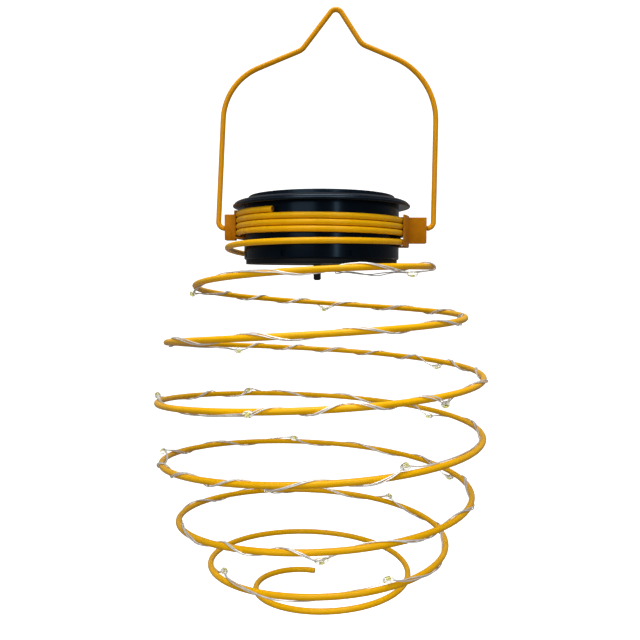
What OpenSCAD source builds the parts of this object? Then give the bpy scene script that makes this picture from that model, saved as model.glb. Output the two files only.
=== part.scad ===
// Solar lantern: a powder-coated wire spiral that hangs from a pointed wire
// handle and carries a round solar unit and a string of small lights.
// Millimetres, +Z up. The origin is the hang point, under the handle's peak.

/* [Handle] */
// Thickness of the handle wire
handle_wire = 2.4; // [1.8:0.1:2.6]
// Height of the hang point above the pivots
handle_rise = 98.5; // [90:0.5:118]
// How far the peak stands to the right of the lantern's axis
peak_shift = 6.4; // [0:0.2:10]
// Radius of the bend at each foot of the handle
foot_bend = 3; // [2.4:0.1:3.6]
// Thickness of the bare pin at each foot
pin_d = 2; // [1.6:0.1:2]

/* [Spiral] */
// Thickness of the spiral wire
coil_wire = 2.6; // [2.2:0.1:2.7]
// Diameter of the spiral at its widest
belly_d = 146.5; // [122:1:176]
// Depth of the widest turn below the pivots
belly_drop = 74; // [70:1:80]
// Height from the widest turn up to the pole of the profile
upper_h = 85; // [80:0.5:96]
// Height from the widest turn down to the pole of the profile
lower_h = 93; // [90:0.5:110]
// Fullness of the profile above the widest turn (2 is an ellipse)
upper_full = 1.75; // [1.7:0.05:2.2]
// Fullness of the profile below the widest turn
lower_full = 2.5; // [2:0.05:2.8]
// Room between one collar turn and the next
turn_gap = 0.12; // [0.1:0.02:0.6]
// Drop of a turn at the belly
belly_pitch = 26.4; // [22:0.1:26.6]

/* [Clips] */
// Thickness of the clip sheet
clip_t = 0.7; // [0.5:0.05:0.8]
// How far the left clip's tab stands out from the turns
tab_left = 4.95; // [4:0.05:12]
// How far the right clip's tab stands out from the turns
tab_right = 8.45; // [4:0.05:12]
// Width of a clip's tab
tab_w = 6.4; // [6:0.1:8]
// Height of a clip's tab
tab_h = 11.6; // [9:0.1:13]
// How far round the turns a clip's saddle reaches, in degrees
saddle_reach = 24; // [14:1:30]

/* [Housing] */
// How far the housing and the collar tip forward about the pivots, in degrees
unit_tilt = 3.1; // [0:0.1:4.5]
// Diameter of the cup
cup_d = 70.5; // [68:0.5:84]
// Height of the cup without its bottom cover
cup_h = 24; // [22:0.5:28]
// Wall of the cup
cup_wall = 1.8; // [1.4:0.1:2.2]
// How far the brim stands out from the cup
flange_out = 5; // [3:0.5:6]
// Height of the brim where it meets the raised ring
brim_h = 2.7; // [2.4:0.1:4]
// Height of the raised ring above the brim
ring_h = 1.7; // [1.6:0.1:3.5]
// Thickness of the bottom cover
cover_t = 2; // [1.6:0.1:2.4]
// Height of the brim's underside above the pivots
flange_lift = 9.5; // [9:0.5:11]

/* [Electrics] */
// Side of the square solar cell
cell_w = 40; // [32:1:42]
// Diameter of the rechargeable cell
battery_d = 10.5; // [9:0.1:11]
// Length of the rechargeable cell
battery_l = 44.5; // [40:0.5:45]
// Side of the square switch button
button_w = 3.4; // [3:0.1:4]
// How far the button stands out of the cover
button_out = 7.3; // [4:0.1:9]
// Travel of the button
button_travel = 1.5; // [1:0.1:2]
// Thickness of the light string
string_d = 1; // [0.8:0.1:1.2]
// Diameter of a light's clear drop
drop_d = 3; // [2.4:0.1:3.6]
// Length of a light's clear drop
drop_l = 5.4; // [4.5:0.1:6.5]

/* [Hidden] */
$fn = 48;
eps = 0.01;

yellow = [0.95, 0.67, 0.04];
near_black = [0.05, 0.06, 0.07];
steel = [0.75, 0.75, 0.77];

// Running clearance round a handle pin, and the general gap between loose parts
pin_clear = 0.06;
gap = 0.2;

// Places: the lantern's axis in the row frame, and heights above the pivots
axis_x = -peak_shift;
pivot_z = -handle_rise;
flange_z = flange_lift;
cover_z = flange_z - cup_h;

cup_r = cup_d / 2;
cup_in = cup_r - cup_wall;
flange_r = cup_r + flange_out;
ring_r = cup_r - 2;
window_r = ring_r - 2.4;

// The clips' inner leaves fill the room between the housing and the collar
leaf_in = cup_r + gap;
collar_r = leaf_in + clip_t + gap + coil_wire / 2;
collar_pitch = coil_wire + turn_gap;
saddle_in = collar_r + coil_wire / 2 + gap;
reach_left = saddle_in + tab_left;
reach_right = saddle_in + tab_right;

// ---- The spiral's centre line ----
// A station is a count of half turns: 0 is on the right, 1 on the left, and
// the wire runs right, front, left, back on its way down.
first_station = -9.33;
last_station = 13.45;
rings_half = 20;
ring_count = round((last_station - first_station) * rings_half);
coil_sides = 10;
// Stations where the pitch opens out below the collar and closes again near
// the foot, how many half turns each takes, and the share it closes by
open_from = -3.5;
open_over = 6;
close_from = 7.5;
close_over = 5.9;
close_by = 0.64;
start_z = 5.3;
// The collar is a straight drum up to the station where it leaves the clips.
// From there it takes a while to reach the profile and to lose its tilt, and
// a slight lean of the collar to the right ends with the tilt.
leave_at = -1.85;
leave_over = 0.8;
tilt_over = 2.4;
collar_lean = 1.3;

function smooth(x) = let (u = min(max(x, 0), 1)) u * u * (3 - 2 * u);
function half_drop(s) =
  (collar_pitch + (belly_pitch - collar_pitch) * smooth((s - open_from) / open_over)) / 2
  * (1 - close_by * smooth((s - close_from) / close_over));
function profile_r(z) =
  let (h = z + belly_drop, pole = h > 0 ? upper_h : lower_h, full = h > 0 ? upper_full : lower_full,
       share = min(abs(h) / pole, 1))
  belly_d / 2 * (1 - share ^ full) ^ (1 / full);
function coil_r(z, s) =
  z > -belly_drop
  ? collar_r + (max(collar_r, profile_r(z)) - collar_r) * smooth((s - leave_at) / leave_over)
  : profile_r(z);

coil_z = [for (i = 0, z = start_z; i <= ring_count;
               i = i + 1, z = z - half_drop(first_station + (i - 0.5) / rings_half) / rings_half) z];
function z_at(s) =
  let (p = (s - first_station) * rings_half, i = floor(p), u = p - i)
  coil_z[i] * (1 - u) + coil_z[min(i + 1, ring_count)] * u;
// The point before the tilt, and the tilt about the pivots' axis
function drum_at(s) =
  let (z = z_at(s), r = coil_r(z, s), x = r * cos(180 * s), hold = 1 - smooth((s - leave_at) / tilt_over))
  [x, -r * sin(180 * s), z - hold * x * tan(collar_lean)];
function tipped(p, a) = [p[0], p[1] * cos(a) - p[2] * sin(a), p[1] * sin(a) + p[2] * cos(a)];
function wire_at(s) = tipped(drum_at(s), unit_tilt * (1 - smooth((s - leave_at) / tilt_over)));

function unit(v) = v / norm(v);
function flat_to(v, t) = unit(v - (v * t) * t);
function tangents(p) = [for (i = [0:len(p) - 1]) unit(p[min(i + 1, len(p) - 1)] - p[max(i - 1, 0)])];

// A round tube along a list of points, with one solid end to end
module tube(p, d, sides, side_way) {
  t = tangents(p);
  n = [for (i = 0, v = flat_to(side_way, t[0]); i < len(p);
            i = i + 1, v = flat_to(v, t[min(i, len(p) - 1)])) v];
  rings = [for (i = [0:len(p) - 1]) for (j = [0:sides - 1])
           let (a = 360 * j / sides, b = cross(t[i], n[i])) p[i] + d / 2 * (cos(a) * n[i] + sin(a) * b)];
  last = (len(p) - 1) * sides;
  faces = concat(
    [[for (j = [0:sides - 1]) j]],
    [for (i = [0:len(p) - 2]) for (j = [0:sides - 1])
     let (a = i * sides + j, b = i * sides + (j + 1) % sides) each [[a, a + sides, b], [b, a + sides, b + sides]]],
    [[for (j = [sides - 1:-1:0]) last + j]]);
  polyhedron(rings, faces);
}

// The lantern's own parts are drawn from its axis and its pivots
module on_lantern() { translate([axis_x, 0, pivot_z]) children(); }
module on_unit() { on_lantern() rotate([unit_tilt, 0, 0]) children(); }

// ---- The handle ----
// Corners of the handle's centre line, from the left pin to the right pin, as
// [x from the axis, height above the pivots, bend radius]
foot_gap = 0.4;
leg_left = reach_left + foot_gap + foot_bend;
leg_right = reach_right + foot_gap + foot_bend;
head_t = 0.8;
head_r = pin_d / 2 + 0.9;
peak_bend = 3;
// The corner stands above the bend's own top by this share of its radius
peak_over = 0.731;
corners = [
  [-reach_left + clip_t + gap + head_t, 0, 0],
  [-leg_left, 0, foot_bend],
  [2.9 - leg_left, handle_rise - 31.5, 26],
  [-9.2, handle_rise - 17, 7],
  [peak_shift, handle_rise + handle_wire / 2 + peak_over * peak_bend, peak_bend],
  [18, handle_rise - 14.6, 7],
  [leg_right + 1.2, handle_rise - 29.2, 31],
  [leg_right, 0, foot_bend],
  [reach_right - clip_t - gap - head_t, 0, 0]];

function way(i) = let (d = [corners[i + 1][0] - corners[i][0], corners[i + 1][1] - corners[i][1]]) d / norm(d);
function bearing(i) = atan2(way(i)[1], way(i)[0]);
function turn(i) = let (a = bearing(i) - bearing(i - 1)) a > 180 ? a - 360 : a < -180 ? a + 360 : a;
function cut(i) = corners[i][2] == 0 ? 0 : corners[i][2] * tan(abs(turn(i)) / 2);

// Points of one bend, or the corner itself where the wire just ends
function bend_points(i) =
  let (r = corners[i][2], side = sign(turn(i)), n = ceil(abs(turn(i)) / 9) + 2,
       start = [corners[i][0], corners[i][1]] - cut(i) * way(i - 1),
       centre = start + side * r * [-way(i - 1)[1], way(i - 1)[0]], a0 = bearing(i - 1) - 90 * side)
  [for (k = [0:n]) let (a = a0 + turn(i) * k / n) centre + r * [cos(a), sin(a)]];

handle_line = [for (i = [1:len(corners) - 2]) each bend_points(i)];
foot_left = handle_line[0];
foot_right = handle_line[len(handle_line) - 1];
pin_root = 0.3;

module pin(foot, inner_x) {
  side = sign(inner_x - foot[0]);
  translate([foot[0] - side * pin_root, 0, 0]) rotate([0, 90 * side, 0])
    cylinder(h = abs(inner_x - foot[0]) + pin_root, d = pin_d);
  translate([inner_x, 0, 0]) rotate([0, 90 * side, 0]) cylinder(h = head_t, r = head_r);
}

module handle() {
  color(yellow) on_lantern() union() {
    tube([for (q = handle_line) [q[0], 0, q[1]]], handle_wire, 12, [0, 1, 0]);
    pin(foot_left, corners[0][0] - head_t);
    pin(foot_right, corners[len(corners) - 1][0] + head_t);
  }
}

// ---- The clips ----
// One folded sheet: an inner leaf between housing and turns, a top and a
// bottom leaf, a saddle outside the turns and a tab that holds a handle pin.
leaf_half = 5;
saddle_trim = 0.02;
// The collar stations over and under each clip, and the height of its tab's
// middle from the pivots
left_turns = [-9, -3];
right_turns = [-8, -2];
left_mid = 0.3;
right_mid = -1.1;

// The tab's plan: two side plates and an end wall, rooted in the saddle
module tab_plan(reach) {
  root = saddle_in + clip_t / 2;
  w = tab_w / 2;
  polygon([[root, -w], [reach, -w], [reach, w], [root, w], [root, w - clip_t],
           [reach - clip_t, w - clip_t], [reach - clip_t, clip_t - w], [root, clip_t - w]]);
}

module clip(reach, turns, side, tab_mid) {
  lean_z = -side * collar_r * tan(collar_lean);
  high = z_at(turns[0] - leaf_half / 180) + lean_z + coil_wire / 2 + gap;
  low = z_at(turns[1] + leaf_half / 180) + lean_z - coil_wire / 2 - gap;
  trim = saddle_trim;
  difference() {
    union() {
      rotate([0, 0, -leaf_half]) rotate_extrude(angle = 2 * leaf_half) difference() {
        translate([leaf_in, low - clip_t]) square([saddle_in + clip_t - leaf_in, high - low + 2 * clip_t]);
        translate([leaf_in + clip_t, low]) square([saddle_in - leaf_in - clip_t, high - low]);
      }
      rotate([0, 0, -saddle_reach]) rotate_extrude(angle = saddle_reach)
        translate([saddle_in + trim, low - clip_t + trim])
          square([clip_t - 2 * trim, high - low + 2 * clip_t - 2 * trim]);
      translate([0, 0, tab_mid - tab_h / 2]) linear_extrude(height = tab_h) tab_plan(reach);
    }
    translate([reach - 2 * clip_t, 0, 0]) rotate([0, 90, 0])
      cylinder(h = 4 * clip_t, r = pin_d / 2 + pin_clear);
  }
}

module right_clip() {
  color(yellow) on_unit() clip(reach_right, right_turns, 1, right_mid);
}

module left_clip() {
  color(yellow) on_unit() rotate([0, 0, 180]) clip(reach_left, left_turns, -1, left_mid);
}

// ---- The spiral wire ----
module spiral_wire() {
  color(yellow) on_lantern()
    tube([for (i = [0:ring_count]) wire_at(first_station + i / rings_half)], coil_wire, coil_sides, [0, 0, 1]);
}

// ---- The housing ----
window_t = 1.4;
top_z = flange_z + brim_h + ring_h;
seat_z = top_z - window_t - 0.8;
seal_t = 0.4;
cell_t = 1.2;
// How deep the cell lies under its window's seat, and the floor below it
cell_sink = 0.4;
pocket_floor = 1.1;
pocket_z = seat_z - cell_sink - cell_t;
pocket_clear = 0.5;
spigot_h = 4;
spigot_wall = 2.4;
spigot_r = cup_in - 0.15;
groove_z = flange_z - 2;
// The seal ring's groove, and the radius of the ring's own centre line
seal_d = 1.4;
seal_r = spigot_r - 0.45;

// The brim's section: it falls in a curve from the ring to a thin round lip
lip_t = 1.3;
brim_points = [for (i = [0:8]) let (a = 90 * i / 8)
  [ring_r - 0.5 + (flange_r - lip_t / 2 - ring_r + 0.5) * sin(a), lip_t / 2 + (brim_h - lip_t / 2) * cos(a)]];

module top_shell() {
  color(near_black) on_unit() difference() {
    union() {
      translate([0, 0, flange_z]) rotate_extrude()
        polygon(concat([[0, 0], [0, brim_h]], brim_points, [[flange_r - lip_t / 2, -lip_t / 2], [cup_r + 1, 0]]));
      translate([0, 0, flange_z]) rotate_extrude() translate([flange_r - lip_t / 2, 0]) circle(d = lip_t);
      translate([0, 0, flange_z + 0.5]) cylinder(h = brim_h + ring_h - 1.1, r = ring_r);
      translate([0, 0, top_z - 0.6]) cylinder(h = 0.6, r1 = ring_r, r2 = ring_r - 0.6);
      translate([0, 0, flange_z - spigot_h]) cylinder(h = spigot_h + 0.5, r = spigot_r);
    }
    translate([0, 0, seat_z]) cylinder(h = 10, r = window_r + gap);
    translate([0, 0, flange_z - spigot_h - eps])
      cylinder(h = pocket_z - pocket_floor - flange_z + spigot_h + eps, r = spigot_r - spigot_wall);
    translate([-cell_w / 2 - pocket_clear, -cell_w / 2 - pocket_clear, pocket_z])
      cube([cell_w + 2 * pocket_clear, cell_w + 2 * pocket_clear, 5]);
    rotate_extrude() translate([seal_r - seal_d / 2, groove_z - seal_d / 2]) square(seal_d);
    for (s = [-1, 1]) translate([s * lead_x, 0, flange_z - 2]) cylinder(h = 10, d = 2);
  }
}

module panel_window() {
  color([0.6, 0.65, 0.7, 0.5]) on_unit() translate([0, 0, seat_z + seal_t])
    cylinder(h = window_t, r = window_r);
}

module window_seal() {
  color("dimgray") on_unit() translate([0, 0, seat_z]) difference() {
    cylinder(h = seal_t, r = window_r);
    translate([0, 0, -1]) cylinder(h = 3, r = window_r - 1);
  }
}

module solar_cell() {
  color([0.05, 0.07, 0.16]) on_unit() translate([-cell_w / 2, -cell_w / 2, pocket_z])
    cube([cell_w, cell_w, cell_t]);
}

// Two ribbons that collect the cell's current
module cell_tabs() {
  color(steel) on_unit() for (s = [-1, 1])
    translate([s * cell_w / 4 - 0.8, -cell_w / 2 + 1, seat_z - cell_sink]) cube([1.6, cell_w - 2, 0.15]);
}

module seal_ring() {
  color("black") on_unit() translate([0, 0, groove_z])
    rotate_extrude() translate([seal_r, 0]) circle(d = seal_d - 0.3);
}

// The cover drops into the cup with a lip, and three screws go up into bosses
lip_h = 1.5;
lip_wall = 1.6;
lip_play = 0.1;
cover_r = cup_r - 0.8;
boss_at = [30, 150, 270];
boss_r = 3.2;
boss_ring = cup_in - 2.85;
boss_h = 12;
screw_r = 1.1;
screw_l = 8;
screw_head_r = 2.1;
screw_head_h = 1;
screw_sink = 0.1;
screw_play = 0.15;
pilot_r = screw_r - 0.05;
switch_at = [-2.2, 8];
string_at = [6.2, 10];
grommet_r = 1.7;
button_clear = 0.15;
// Small drain notches low on the cup, by their bearings
notch_w = 2.3;
notch_at = [20, 70, 135, 200, 245, 290];

module housing_cup() {
  color(near_black) on_unit() difference() {
    translate([0, 0, cover_z]) cylinder(h = cup_h, r = cup_r);
    difference() {
      translate([0, 0, cover_z - 1]) cylinder(h = cup_h + 2, r = cup_in);
      for (a = boss_at) rotate([0, 0, a]) translate([boss_ring, 0, cover_z + lip_h]) cylinder(h = boss_h, r = boss_r);
    }
    for (a = boss_at) rotate([0, 0, a]) translate([boss_ring, 0, cover_z - 1])
      cylinder(h = boss_h, r = pilot_r);
    for (a = notch_at) rotate([0, 0, a]) translate([cup_in + cup_wall / 2, -notch_w / 2, cover_z + 1])
      cube([cup_wall, notch_w, notch_w]);
  }
}

module bottom_cover() {
  bw = button_w + 2 * button_clear;
  color(near_black) on_unit() difference() {
    union() {
      translate([0, 0, cover_z - cover_t]) cylinder(h = cover_t, r = cover_r);
      translate([0, 0, cover_z]) difference() {
        cylinder(h = lip_h - lip_play, r = cup_in - lip_play);
        translate([0, 0, -1]) cylinder(h = lip_h + 2, r = cup_in - lip_play - lip_wall);
      }
    }
    for (a = boss_at) rotate([0, 0, a]) translate([boss_ring, 0, 0]) {
      translate([0, 0, cover_z - cover_t - 1]) cylinder(h = 10, r = screw_r + screw_play);
      translate([0, 0, cover_z - cover_t - 1])
        cylinder(h = 1 + screw_sink + screw_head_h, r = screw_head_r + screw_play);
    }
    translate([switch_at[0] - bw / 2, switch_at[1] - bw / 2, cover_z - cover_t - 1]) cube([bw, bw, 10]);
    translate([string_at[0], string_at[1], cover_z - cover_t - 1]) cylinder(h = 10, r = grommet_r);
  }
}

module cover_screws() {
  color(steel) on_unit() for (a = boss_at) rotate([0, 0, a]) translate([boss_ring, 0, cover_z - cover_t]) {
    difference() {
      union() {
        translate([0, 0, screw_sink]) cylinder(h = screw_head_h, r = screw_head_r);
        translate([0, 0, screw_sink]) cylinder(h = screw_l, r = screw_r - 0.1);
      }
      for (q = [0, 90]) rotate([0, 0, q]) translate([-1.3, -0.25, -1]) cube([2.6, 0.5, 1.7]);
    }
  }
}

// ---- Inside ----
tray_y = -6.5;
tray_floor = 1.2;
tray_wall = 1.4;
tray_h = battery_d * 0.62;
spring_l = 4.4;
plate_t = 0.5;
cell_gap = battery_l + spring_l + plate_t + 0.3;
battery_z = cover_z + tray_floor + battery_d / 2 + gap;
battery_x = (spring_l - plate_t) / 2;
// The tray is trimmed round, so that it clears the cover's lip at any cell length
tray_r = cup_in - lip_play - lip_wall - gap;

module battery_tray() {
  w = battery_d + 2 * gap + 2 * tray_wall;
  color("dimgray") on_unit() difference() {
    intersection() {
      translate([-cell_gap / 2 - tray_wall, tray_y - w / 2, cover_z]) cube([cell_gap + 2 * tray_wall, w, tray_h]);
      translate([0, 0, cover_z - 1]) cylinder(h = tray_h + 2, r = tray_r);
    }
    translate([-cell_gap / 2, tray_y - battery_d / 2 - gap, cover_z + tray_floor])
      cube([cell_gap, battery_d + 2 * gap, 20]);
  }
}

module battery() {
  nub = 1;
  color([0.2, 0.55, 0.3]) on_unit() translate([battery_x - battery_l / 2, tray_y, battery_z]) rotate([0, 90, 0])
    union() {
      translate([0, 0, 0.4]) cylinder(h = battery_l - nub - 0.4, d = battery_d);
      cylinder(h = battery_l - nub, d = battery_d - 1.6);
      cylinder(h = battery_l, d = 3.8);
    }
}

module contact_spring() {
  turns = 4;
  steps = 12;
  wire = 0.5;
  small_r = battery_d / 2 - 2.9;
  color(steel) on_unit() translate([-cell_gap / 2 + wire / 2 + 0.05, tray_y, battery_z])
    tube([for (i = [0:turns * steps]) let (u = i / (turns * steps), r = small_r + 1.6 * (1 - u))
          [u * (spring_l - wire - 0.15), r * cos(360 * i / steps), r * sin(360 * i / steps)]], wire, 6, [1, 0, 0]);
}

module contact_plate() {
  color(steel) on_unit() translate([cell_gap / 2 - plate_t - 0.05, tray_y - 3.5, cover_z + tray_floor + 0.6])
    cube([plate_t, 7, battery_d - 1]);
}

board_w = 36;
board_d = 18;
board_t = 1.2;
board_y = 3;
switch_w = 7;
switch_h = 7.4;
// How far the button reaches into the switch at rest, and the room left past its travel
button_in = 2.6;
button_room = 0.3;
board_z = cover_z + switch_h + 0.1;

module circuit_board() {
  color([0.05, 0.35, 0.15]) on_unit() difference() {
    translate([-board_w / 2, board_y, board_z]) cube([board_w, board_d, board_t]);
    translate([string_at[0], string_at[1], board_z - 1]) cylinder(h = 4, r = 1.2);
    for (s = [-1, 1]) translate([s * (board_w / 2 - 2), board_y + board_d - 2, board_z - 1]) cylinder(h = 4, r = 0.8);
  }
}

module driver_chip() {
  color([0.1, 0.1, 0.1]) on_unit() translate([-13, board_y + 8, board_z + board_t]) {
    translate([0, 0, 0.15]) cube([5, 4, 1.4]);
    for (i = [0:3], y = [-0.9, 3.9]) translate([0.5 + i * 1.27, y, 0]) cube([0.45, 1, 0.6]);
  }
}

module choke_coil() {
  color([0.3, 0.2, 0.12]) on_unit() translate([12, board_y + 11, board_z + board_t]) {
    cylinder(h = 0.8, r = 3);
    cylinder(h = 4.4, r = 2.3);
    translate([0, 0, 3.6]) cylinder(h = 0.8, r = 3);
  }
}

module capacitor() {
  color([0.15, 0.2, 0.35]) on_unit() translate([-4, board_y + 13, board_z + board_t]) {
    cylinder(h = 0.4, r = 2.1);
    cylinder(h = 5.4, r = 2);
  }
}

module switch_body() {
  color([0.15, 0.15, 0.16]) on_unit() translate([switch_at[0], switch_at[1], cover_z]) difference() {
    translate([-switch_w / 2, -switch_w / 2, 0.1]) cube([switch_w, switch_w, switch_h - 0.1]);
    translate([-button_w / 2 - button_clear, -button_w / 2 - button_clear, -1])
      cube([button_w + 2 * button_clear, button_w + 2 * button_clear, 1 + button_in + button_travel + button_room]);
  }
}

module switch_button() {
  edge = 0.4;
  color([0.03, 0.03, 0.03]) on_unit() translate([switch_at[0], switch_at[1], cover_z - cover_t - button_out]) {
    translate([-button_w / 2, -button_w / 2, edge]) cube([button_w, button_w, button_out + cover_t + button_in - edge]);
    translate([-button_w / 2 + edge, -button_w / 2 + edge, 0]) cube([button_w - 2 * edge, button_w - 2 * edge, edge]);
  }
}

module string_grommet() {
  color([0.04, 0.04, 0.04]) on_unit() translate([string_at[0], string_at[1], cover_z - cover_t]) difference() {
    union() {
      cylinder(h = cover_t + 0.8, r = grommet_r - 0.02);
      translate([0, 0, -2.2]) cylinder(h = 2.2, r1 = 1.3, r2 = 2.3);
    }
    translate([0, 0, -3]) cylinder(h = 8, d = string_d + 0.3);
  }
}

lead_d = 0.9;
lead_x = 14;
lead_gap = 0.15;
lead_arch = 2;

// From the solar cell's underside to the board's edge
module panel_leads() {
  top = pocket_z - lead_gap;
  low = board_z + board_t + lead_gap;
  y = board_y + 2;
  color("firebrick") on_unit() for (s = [-1, 1])
    tube([for (i = [0:12]) let (u = i / 12)
          [s * (lead_x + 1.5 * sin(180 * u)), y * smooth(u * 1.3), top + (low - top) * u]], lead_d, 6, [1, 0, 0]);
}

// From the battery tray's wall to the board's edge
module battery_leads() {
  from_x = 20;
  from_y = tray_y + battery_d / 2 + gap + tray_wall / 2;
  from_z = cover_z + tray_h + lead_d / 2 + lead_gap;
  to_x = board_w / 2 - 2;
  to_y = board_y + 2;
  to_z = board_z + board_t + lead_d / 2 + lead_gap;
  color("black") on_unit() for (s = [-1, 1])
    tube([for (i = [0:12]) let (u = i / 12)
          [s * (from_x + (to_x - from_x) * u), from_y + (to_y - from_y) * smooth(u),
           from_z + (to_z - from_z) * u + lead_arch * sin(180 * u)]], lead_d, 6, [1, 0, 0]);
}

// ---- The light string ----
// How many times it has gone round the wire by a station, from above the wire;
// it turns back wherever this count does, as a string wound by hand will.
wound_by = [
  [0, -0.5], [0.1, -0.75], [0.59, -2.75], [1, -3.6], [1.16, -3.25], [1.53, -0.3], [2.05, 2.9],
  [2.21, 2.25], [2.76, -0.75], [3.05, -1.7], [3.29, -1.4], [3.74, 2.95], [4.02, 0.6], [4.27, -0.5],
  [4.45, -2.1], [4.59, -0.75], [5.12, 0.4], [5.35, 2.25], [5.78, -0.45], [6.05, -1.3], [6.35, -1],
  [6.54, 0.25], [7, 4.1], [8, -1.2], [8.49, -3.5], [8.77, -5.75], [9, -6.6], [9.7, -10], [10, -11.2],
  [11, -13.6]];
string_start = 0.02;
string_end = 10.99;
string_steps = 80;
string_off = coil_wire / 2 + string_d / 2 + 0.35;
function phase(s) = 360 * lookup(s, wound_by) - 90;

function beside_wire(s, off) =
  let (p = wire_at(s), t = unit(wire_at(s + 0.01) - wire_at(s - 0.01)),
       out = flat_to([p[0], p[1], 0], t), up = cross(out, t), a = phase(s))
  p + off * (cos(a) * out + sin(a) * up);

cover_low = cover_z - cover_t;
lead_route = [
  [string_at[0], string_at[1], cover_z - 0.5],
  [string_at[0], string_at[1], cover_low - 1],
  [string_at[0], string_at[1], cover_low - 2.4],
  [6.9, 9.9, cover_low - 3.2],
  [9.4, 9.4, cover_low - 3.8],
  [14, 8.2, cover_low - 4.1],
  [20, 7, cover_low - 4.2],
  [26, 5.6, cover_low - 4.2],
  [32, 4, cover_low - 4],
  [37.5, 2.6, cover_low - 3.7],
  [42, 1.6, cover_low - 3.5],
  [45.5, 0.8, cover_low - 3.5]];
lead = [for (p = lead_route) tipped(p, unit_tilt)];
wound = [for (s = [string_start:1 / string_steps:string_end]) beside_wire(s, string_off)];

module light_string() {
  color([0.8, 0.8, 0.78]) on_lantern() tube(concat(lead, wound), string_d, 6, [1, 0, 0]);
}

// The stations where lights sit; one more hangs under this point of the lead
light_at = [1, 1.5, 2, 3.27, 3.8, 4.27, 4.6, 4.93, 5.3, 5.78, 6.35, 7, 7.42, 7.87, 8.49, 9.33, 9.7,
            10.33, 10.8];
lead_light = 10;
light_off = string_d / 2 + drop_d / 2 + 0.1;

module light_drop() {
  tip = 1.4;
  rotate([0, 90, 0]) translate([0, 0, -drop_l / 2]) {
    cylinder(h = tip, d1 = 1, d2 = drop_d);
    translate([0, 0, tip]) cylinder(h = drop_l - 2 * tip, d = drop_d);
    translate([0, 0, drop_l - tip]) cylinder(h = tip, d1 = drop_d, d2 = 1);
  }
}

module light_drops() {
  color([0.95, 0.97, 0.9, 0.7]) on_lantern() {
    translate(lead[lead_light] - [0, 0, light_off]) light_drop();
    for (s = light_at) {
      d = beside_wire(s + 0.01, string_off) - beside_wire(s - 0.01, string_off);
      translate(beside_wire(s, string_off + light_off))
        rotate([0, -asin(d[2] / norm(d)), atan2(d[1], d[0])]) light_drop();
    }
  }
}

handle();
left_clip();
right_clip();
spiral_wire();
top_shell();
panel_window();
window_seal();
solar_cell();
cell_tabs();
seal_ring();
housing_cup();
bottom_cover();
cover_screws();
battery_tray();
battery();
contact_spring();
contact_plate();
circuit_board();
driver_chip();
choke_coil();
capacitor();
switch_body();
switch_button();
string_grommet();
panel_leads();
battery_leads();
light_string();
light_drops();
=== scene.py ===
# %% [markdown]
# # A solar spiral lantern
# A lantern of this kind is mostly wire. One thick, powder-coated wire makes a
# tight collar and then a bellied spiral; a thinner one makes the handle. A
# black solar unit sits in the collar, and a pair of fine silver strands with
# small clear lights is wound round the spiral from top to bottom.
#
# The engineering model is loaded first and stays fixed. Each new piece is
# hung from a helper for the body that it moves with, and the plain solid
# that it stands in for is hidden.

# %% Load the frame and keep its parts where they stand
import math
import bmesh
import bpy
from mathutils import Matrix, Vector


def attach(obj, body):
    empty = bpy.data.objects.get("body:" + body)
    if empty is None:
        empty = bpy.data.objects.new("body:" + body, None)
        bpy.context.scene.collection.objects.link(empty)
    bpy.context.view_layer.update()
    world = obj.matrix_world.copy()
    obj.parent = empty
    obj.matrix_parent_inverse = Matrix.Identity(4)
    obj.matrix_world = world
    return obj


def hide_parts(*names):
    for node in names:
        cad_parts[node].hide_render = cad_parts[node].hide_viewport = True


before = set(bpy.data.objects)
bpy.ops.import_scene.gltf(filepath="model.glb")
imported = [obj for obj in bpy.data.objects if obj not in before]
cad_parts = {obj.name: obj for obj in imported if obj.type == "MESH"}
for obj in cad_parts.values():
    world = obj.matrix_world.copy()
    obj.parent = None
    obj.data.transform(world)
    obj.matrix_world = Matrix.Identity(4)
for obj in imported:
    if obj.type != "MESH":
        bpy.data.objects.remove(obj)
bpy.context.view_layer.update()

# %% [markdown]
# ## The lantern's driving sizes
# Blender works in metres, and a wire lantern is easier to think about in
# millimetres, so every size below is in millimetres and is turned into
# metres where a mesh is made. These are the same sizes that the solids use,
# because a smooth wire has to lie exactly on the plain one.

# %% Sizes in millimetres
MM = 0.001
HANDLE_WIRE = 2.4
HANDLE_RISE = 98.5
PEAK_SHIFT = 6.4
FOOT_BEND = 3.0
COIL_WIRE = 2.6
BELLY_D = 146.5
BELLY_DROP = 74.0
UPPER_H, LOWER_H = 85.0, 93.0
UPPER_FULL, LOWER_FULL = 1.75, 2.5
COLLAR_PITCH, BELLY_PITCH = COIL_WIRE + 0.12, 26.4
UNIT_TILT = 3.1
CUP_R = 35.25
CLIP_T, GAP = 0.7, 0.2
COLLAR_R = CUP_R + CLIP_T + 2 * GAP + COIL_WIRE / 2
AXIS_X = -PEAK_SHIFT
PIVOT_Z = -HANDLE_RISE


def place(p):
    """From millimetres round the lantern's axis and pivots to metres in the frame."""
    return Vector(((p[0] + AXIS_X) * MM, p[1] * MM, (p[2] + PIVOT_Z) * MM))


def tipped(p, share=1.0):
    """A point of the solar unit or its collar, which tip a little forward."""
    return Matrix.Rotation(math.radians(UNIT_TILT) * share, 3, "X") @ Vector(p)


def place_unit(p):
    return place(tipped(p))


print("pivots at", round(PIVOT_Z, 2), "mm, collar radius", round(COLLAR_R, 2), "mm")

# %% [markdown]
# ## Camera
# A product like this is shown from close by, level with its upper
# third. Close means strong perspective: the near side of each turn drops
# below its far side, and that opens the spiral up for the eye.

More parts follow.
